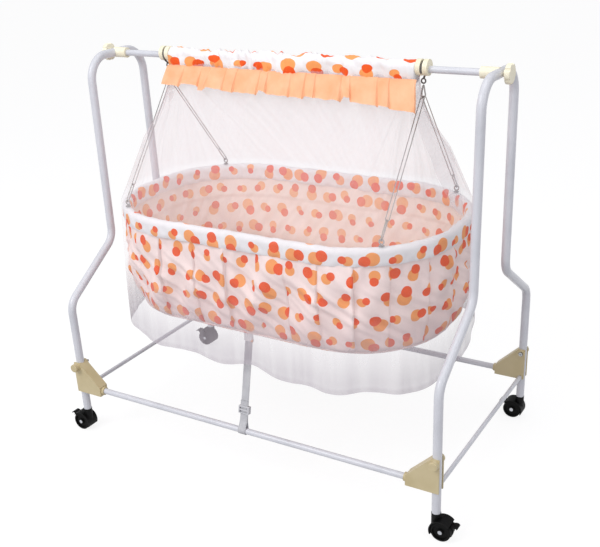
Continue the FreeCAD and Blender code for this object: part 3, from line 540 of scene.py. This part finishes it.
stuff(mattress, 0.005, 4.0, 0.005)
cover = mattress.data
spots = vertex_points(cover)
above = spots[:, 2] - pad_middle
spots[:, :2] *= (1 - 0.016 * np.exp(-(above / 0.0028) ** 2))[:, None]
spots[:, 2] -= np.abs(0.0026 * ripple(spots[:, 0], spots[:, 1], 21.5, 0.06, 0.05)) * (above > 0)
spots[:, 2] = np.maximum(spots[:, 2], pad_low.z + 0.0004)
cover.vertices.foreach_set("co", spots.ravel())
corners = np.empty(len(cover.loops), int)
cover.loops.foreach_get("vertex_index", corners)
place = spots[:, :2] + np.where(above > 0, 3.0, 4.0)[:, None]
layer = cover.uv_layers.new(name="cloth")
layer.data.foreach_set("uv", place[corners].astype(np.float32).ravel())
cover.polygons.foreach_set("use_smooth", [True] * len(cover.polygons))
cover.materials.clear()
cover.materials.append(printed_lining)
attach(mattress, "cradle")
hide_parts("mattress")

# ---- top bar: padded sleeve --------------------------------------------------------------------------
# A sleeve of the printed cotton over a foam roll on the top bar.  It is longer than the roll,
# so it gathers into rings and slanting folds.
sleeve_low, sleeve_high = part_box("bar_sleeve")
bar_z = (sleeve_low.z + sleeve_high.z) / 2
sleeve_r = sleeve_high.y
sleeve_half = sleeve_high.x
ends = np.array([0.46, 0.62, 0.80, 0.93, 0.985])
along = np.concatenate([np.full(5, -sleeve_half) + np.array([0.0016, 0.0006, 0.0, 0.0008, 0.0028]),
                        np.linspace(-sleeve_half + 0.006, sleeve_half - 0.006, 300),
                        sleeve_half - np.array([0.0028, 0.0008, 0.0, 0.0006, 0.0016])])
fat = np.concatenate([ends, np.ones(300), ends[::-1]])
turn = np.linspace(0, 2 * math.pi, 49)
T, A = np.meshgrid(turn, along)
FAT = np.meshgrid(turn, fat)[1]
bend = 0.010 * np.cos(T - 0.6)
middle = np.exp(-((A + 0.10) / 0.13) ** 2)
rings = ripple(A + bend, 0.03 * np.cos(T), 31.0, 0.0095, 0.05) * (0.35 + 0.65 * middle)
slants = ripple(A + 0.020 * np.sin(T + 1.1), 0.03 * np.sin(T), 36.5, 0.026, 0.04)
radius = sleeve_r * FAT * 1.02 + (0.0048 * rings + 0.0036 * slants) * (FAT > 0.99)
radius = radius * (1 + 0.62 * np.clip(-np.sin(T), 0, 1) ** 1.6 * (FAT > 0.9))
sleeve_points = np.stack([A, radius * np.cos(T), bar_z + radius * np.sin(T)], -1)
sleeve_cloth = np.stack([A * 0.82 + 5.3, T * sleeve_r * 1.4 - 0.0090], -1)
sleeve = cloth_piece("sleeve_cloth", sleeve_points, sleeve_cloth, printed_cotton)
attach(sleeve, "stand")
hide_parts("bar_sleeve")

# ---- top bar: valance --------------------------------------------------------------------------------
# A ruffle of peach satin sewn under the front of the sleeve, pressed into knife pleats and lying
# on the slope of the net.
peach_satin, tree = new_material("peach_satin")
cloth = add(tree, "UVMap", uv_map="cloth").outputs[0]
patch = add(tree, "TexNoise", {"Vector": cloth, "Scale": 22.0, "Detail": 3.0})
tint = add(tree, "MapRange", {0: patch.outputs[0], 1: 0.35, 2: 0.7})
peach = add(tree, "Mix", {0: tint.outputs[0], 6: srgb("FFC096"), 7: srgb("F8AC7C")}, data_type="RGBA")
yarn = add(tree, "TexWave", {"Vector": cloth, "Scale": 0.314 / 0.0005}, bands_direction="DIAGONAL")
sheen = add(tree, "MapRange", {0: yarn.outputs["Fac"], 3: 0.42, 4: 0.52})
press = add(tree, "TexNoise", {"Vector": cloth, "Scale": 60.0, "Detail": 4.0})
soft = add(tree, "Bump", {"Strength": 0.5, "Distance": 0.0008, "Height": press.outputs[0]})
bump = add(tree, "Bump", {"Strength": 0.3, "Distance": 0.00006, "Height": yarn.outputs["Fac"],
                          "Normal": soft.outputs[0]})
finished(tree, Base_Color=peach.outputs[2], Roughness=sheen.outputs[0], Sheen_Weight=0.25,
         Specular_IOR_Level=0.45, Normal=bump.outputs[0])

folds = np.array([-0.303, -0.252, -0.205, -0.184, -0.140, -0.112, -0.052, -0.034, 0.024, 0.058, 0.081,
                  0.142, 0.160, 0.222, 0.247, 0.303])
x = np.unique(np.concatenate([np.linspace(-sleeve_half, sleeve_half, 330), folds[1:-1] - 0.0008,
                              folds[1:-1] + 0.0008]))
which = np.clip(np.searchsorted(folds, x, side="right") - 1, 0, len(folds) - 2)
share = (x - folds[which]) / (folds[which + 1] - folds[which])
X_, V_ = np.meshgrid(x, np.linspace(0, 1, 26))
SHARE = np.meshgrid(share, V_[:, 0])[0]
WHICH = np.meshgrid(which, V_[:, 0])[0]
right_share = (X_ + sleeve_half) / (2 * sleeve_half)
reach_out = 0.034 + 0.006 * right_share
reach_down = 0.036 + 0.007 * right_share
length = 1 + 0.32 * ripple(WHICH * 0.7, 0 * X_, 41.0, 1.0, 1.0) + 0.11 * (SHARE - 0.5)
lift = 0.0010 + 0.0075 * np.minimum(SHARE, (1 - SHARE) * 24) * (0.25 + 0.75 * V_)
lift = lift + 0.0034 * V_ * ripple(X_ + 0.3 * V_ * 0.05, V_ * 0.05, 43.0, 0.022, 0.05)
sewn = np.clip(V_ / 0.08, 0, 1)
y = -(sleeve_r - 0.0005) - 0.0045 * sewn - reach_out * V_ * length - lift * 0.75
z = bar_z - 0.0190 - 0.0025 * sewn - reach_down * V_ * length + lift * 0.65
x_out = X_ + 0.006 * right_share + V_ * (0.004 + 0.018 * right_share)
valance = cloth_piece("valance_cloth", np.stack([x_out, y, z], -1),
                      np.stack([X_ + 0.012 * WHICH, V_ * 0.052], -1), peach_satin)
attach(valance, "stand")
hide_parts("valance")

# ---- mosquito net ------------------------------------------------------------------------------------
# A tent of fine white net, gathered along the underside of the sleeve, spread over the rim and
# hanging past the basket's foot.  It is open at both ends for the wire links, wider at the right.
net_mesh, tree = new_material("white_net")
cloth = add(tree, "UVMap", uv_map="cloth").outputs[0]
dense = add(tree, "Attribute", attribute_name="dense").outputs["Fac"]
cells = add(tree, "TexVoronoi", {"Vector": cloth, "Scale": 1 / 0.0016}, feature="DISTANCE_TO_EDGE")
strewn = add(tree, "VectorMath", {0: cloth, 1: (1.0, 0.08, 1.0)}, operation="MULTIPLY")
gather = add(tree, "TexNoise", {"Vector": strewn.outputs[0], "Scale": 60.0, "Detail": 1.0})
haze = add(tree, "MapRange", {0: gather.outputs[0], 1: 0.3, 2: 0.7, 3: 0.20, 4: 0.27})
fall = add(tree, "SeparateXYZ", {0: cloth}).outputs[1]
laid = add(tree, "MapRange", {0: fall, 1: 0.275, 2: 0.30, 3: 1.0, 4: 0.3})
loose = add(tree, "MapRange", {0: fall, 1: 0.43, 2: 0.56, 3: 0.0, 4: 1.9})
held = add(tree, "Math", {0: laid.outputs[0], 1: loose.outputs[0]}, operation="ADD")
veil = add(tree, "Math", {0: haze.outputs[0], 1: held.outputs[0]}, operation="MULTIPLY")
alpha = add(tree, "Math", {0: veil.outputs[0], 1: dense}, operation="ADD", use_clamp=True)
shade = add(tree, "MapRange", {0: cells.outputs[0], 1: 0.0, 2: 0.4, 3: 1.0, 4: 0.93})
# Below the rim the net's colour turns greyer: painted shade from the basket above it.
foot = add(tree, "MapRange", {0: fall, 1: 0.45, 2: 0.56})
tone = add(tree, "Mix", {0: foot.outputs[0], 6: srgb("F3E8EF"), 7: srgb("C8BEC8")}, data_type="RGBA")
white = add(tree, "VectorMath", {0: tone.outputs[2], "Scale": shade.outputs[0]}, operation="SCALE")
gloss = add(tree, "MapRange", {0: cells.outputs[0], 1: 0.0, 2: 0.4, 3: 0.75, 4: 0.9})
bump = add(tree, "Bump", {"Strength": 0.2, "Distance": 0.0002, "Height": cells.outputs[0]})
finished(tree, Base_Color=white.outputs[0], Roughness=gloss.outputs[0], Alpha=alpha.outputs[0],
         Specular_IOR_Level=0.2, Sheen_Weight=0.4, Normal=bump.outputs[0])

net_low, net_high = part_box("mosquito_net")
band_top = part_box("rim_band")[1].z
net_out = 0.0138
quarter = rim_length / 4
s_left = quarter
s_right = 3 * quarter
s = np.linspace(0, rim_length, 760)
s = np.sort(np.concatenate([s, [s_left - 1e-5, s_left + 1e-5, s_right - 1e-5, s_right + 1e-5]]))
roof = np.linspace(1, 0, 64)
hanging = np.linspace(0, 1, 46)[1:]
heights = np.concatenate([band_top + 0.002 + (net_high.z - 0.004 - band_top - 0.002) * roof,
                          band_top + 0.002 + (net_low.z - band_top - 0.002) * hanging])
S, Z = np.meshgrid(s, heights)
fraction = np.clip((Z - band_top) / (net_high.z - band_top), 0, 1)
drop = np.clip((band_top - Z) / (band_top - net_low.z), 0, 1)
moved = S.copy()
for centre, gap, low, soften in ((s_right, 0.085, 0.600, 0.15), (s_left, 0.040, 0.780, 0.06)):
    opening = gap * np.clip((Z - low) / soften, 0, 1) ** 0.6
    reach = 0.35
    away = S - centre
    inside = np.abs(away) < reach
    pushed = np.sign(away) * (opening + np.abs(away) * (1 - opening / reach))
    moved = np.where(inside, centre + pushed, moved)
wide, normal = around(moved, net_out + 0.005 * drop)
narrow, _ = around(moved, 0.0, sleeve_half - 0.001, 0.0120, 0.008)
taut = fraction[..., None] ** 0.94
xy = wide * (1 - taut) + narrow * taut
streak = rim_ripple(moved, fraction * 0.3, 51.0, 0.030, 0.42)
streak = streak + 0.4 * rim_ripple(moved, fraction * 0.3, 52.0, 0.012, 0.30)
folds_in = 0.0036 * streak * np.sin(math.pi * np.clip(fraction, 0.0, 1)) ** 0.7 * (fraction > 0)
hang = rim_ripple(S, drop * 0.3, 55.0, 0.085, 0.50) + 0.2 * rim_ripple(S, drop * 0.3, 56.0, 0.030, 0.35)
folds_out = 0.0085 * (hang + 0.35) * drop ** 0.8
forward = np.clip((xy[..., 0] + sleeve_half) / (2 * sleeve_half), 0, 1) * (xy[..., 1] < 0)
sink = (0.014 + 0.004 * forward) * np.sin(math.pi * np.clip((fraction - 0.45) / 0.55, 0, 1)) ** 1.2
xy = xy + normal * (folds_in - sink + folds_out)[..., None]
hem = (0.007 * rim_ripple(S, 0 * S, 58.0, 0.09, 1.0)
       - 0.020 * np.exp(-((S - 0.635 * rim_length) / 0.21) ** 2)) * drop
net_points = np.concatenate([xy, (Z + hem)[..., None]], -1)
net = cloth_piece("net_cloth", net_points, np.stack([S, heights[0] - Z], -1), net_mesh)
edge_row = np.zeros(S.shape)
edge_row[-2:] = 0.12
for centre, low in ((s_right, 0.600), (s_left, 0.780)):
    edge_row = np.maximum(edge_row, 0.2 * (np.abs(S - centre) < 0.0035) * (Z > low))
look = net.data.attributes.new("dense", "FLOAT", "POINT")
finder = {tuple(np.round(p, 6)): value for p, value in zip(net_points.reshape(-1, 3), edge_row.ravel())}
look.data.foreach_set("value", [finder.get(tuple(np.round(np.array(v.co), 6)), 0.0)
                                for v in net.data.vertices])
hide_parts("mosquito_net")
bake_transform(net)

# ---- swing lock strap --------------------------------------------------------------------------------
# Polyester webbing from a loop round the front base rail, through a ladder buckle, up to a
# printed tab on the basket's foot.
webbing, tree = new_material("white_webbing")
cloth = add(tree, "UVMap", uv_map="cloth").outputs[0]
soil = add(tree, "TexNoise", {"Vector": cloth, "Scale": 40.0, "Detail": 3.0})
tint = add(tree, "MapRange", {0: soil.outputs[0], 1: 0.35, 2: 0.7})
pale = add(tree, "Mix", {0: tint.outputs[0], 6: srgb("CBCBCF"), 7: srgb("BCBCC2")}, data_type="RGBA")
ribs = add(tree, "TexWave", {"Vector": cloth, "Scale": 0.314 / 0.0016}, bands_direction="Y")
cross = add(tree, "TexWave", {"Vector": cloth, "Scale": 0.314 / 0.0022}, bands_direction="X")
twill = add(tree, "Math", {0: ribs.outputs["Fac"], 1: cross.outputs["Fac"]}, operation="MULTIPLY")
gloss = add(tree, "MapRange", {0: twill.outputs[0], 3: 0.75, 4: 0.6})
bump = add(tree, "Bump", {"Strength": 0.6, "Distance": 0.0003, "Height": twill.outputs[0]})
finished(tree, Base_Color=pale.outputs[2], Roughness=gloss.outputs[0], Sheen_Weight=0.15,
         Normal=bump.outputs[0])

strap_low, strap_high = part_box("lock_strap")
rail_low, rail_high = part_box("base_rail_front")
rail = Vector((0, (rail_low.y + rail_high.y) / 2, (rail_low.z + rail_high.z) / 2))
tab_low, tab_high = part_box("strap_tab")
strap_x = (strap_low.x + strap_high.x) / 2
strap_top = Vector((0, (tab_low.y + tab_high.y) / 2, strap_high.z))
climb = (strap_top - rail).normalized()
behind = Vector((0, climb.z, -climb.y))
loop_r = 0.0081
line = [strap_top + climb * 0.002]
for step in range(1, 15):
    line.append(strap_top.lerp(rail + climb * 0.036, step / 15))
for angle in np.linspace(12, 348, 29):
    turn = math.radians(angle)
    reach = loop_r + 0.016 * max(0.0, math.cos(turn)) ** 6
    line.append(rail + climb * reach * math.cos(turn) + behind * loop_r * math.sin(turn))
line.append(rail + climb * 0.034 + behind * -0.0008)
line.append(rail + climb * 0.052 + behind * -0.0016)
line.append(rail + climb * 0.070 + behind * -0.0030)
points = np.array([list(p) for p in line])
run = np.concatenate([[0], np.cumsum(np.linalg.norm(np.diff(points, axis=0), axis=1))])
dense_run = np.linspace(0, run[-1], 170)
points = np.stack([np.interp(dense_run, run, points[:, i]) for i in range(3)], -1)
tangent = np.gradient(points, axis=0)
tangent /= np.linalg.norm(tangent, axis=1)[:, None]
thick = np.stack([0 * tangent[:, 0], -tangent[:, 2], tangent[:, 1]], -1)
section = [(-0.0098, 0.0), (-0.0094, 0.0006), (-0.004, 0.00065), (0.004, 0.00065), (0.0094, 0.0006),
           (0.0098, 0.0), (0.0094, -0.0006), (0.004, -0.00065), (-0.004, -0.00065), (-0.0094, -0.0006),
           (-0.0098, 0.0)]
wave = 0.0012 * ripple(dense_run, 0 * dense_run, 61.0, 0.06, 1.0) * (dense_run < run[15])
wave = wave * np.sin(math.pi * np.clip(dense_run / run[15], 0, 1))
ribbon = np.array([[p + t * (w + k) + np.array([strap_x + c, 0, 0]) for c, w in section]
                   for p, t, k in zip(points, thick, wave)])
ribbon_cloth = np.array([[(c + (0.05 if w < 0 else 0), d) for c, w in section] for d in dense_run])
strap = cloth_piece("strap_webbing", ribbon, ribbon_cloth, webbing)
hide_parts("lock_strap")
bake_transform(strap)

tab_half = (tab_high.x - tab_low.x) / 2
side = np.array([-1, -0.92, -0.5, 0, 0.5, 0.92, 1, 0.92, 0.5, 0, -0.5, -0.92, -1]) * tab_half
face = np.array([0, 1, 1.2, 1.25, 1.2, 1, 0, -1, -1.2, -1.25, -1.2, -1, 0]) * 0.0015
tab_rows = np.linspace(0, 1, 12)
low_point = strap_top + climb * -0.004
high_point = Vector((0, low_point.y + 0.001, tab_high.z + 0.002))
tab_points = np.array([[(strap_x + c * (1 + 0.03 * math.sin(9 * t)),
                         low_point.lerp(high_point, t).y + w + 0.0005 * math.sin(6 * t),
                         low_point.lerp(high_point, t).z) for c, w in zip(side, face)] for t in tab_rows])
tab_cloth = np.array([[(c + (0.06 if w < 0 else 0) + 0.283, t * 0.02 + 0.34) for c, w in zip(side, face)]
                      for t in tab_rows])
tab = cloth_piece("strap_tab_cloth", tab_points, tab_cloth, printed_cotton)
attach(tab, "cradle")
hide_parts("strap_tab")

buckle_plastic = solid_material("white_acetal_buckle", "D0D0D5", "C2C2C8", 0.0008, 0.00004, 0.34)
dress(buckle_plastic, "strap_buckle")
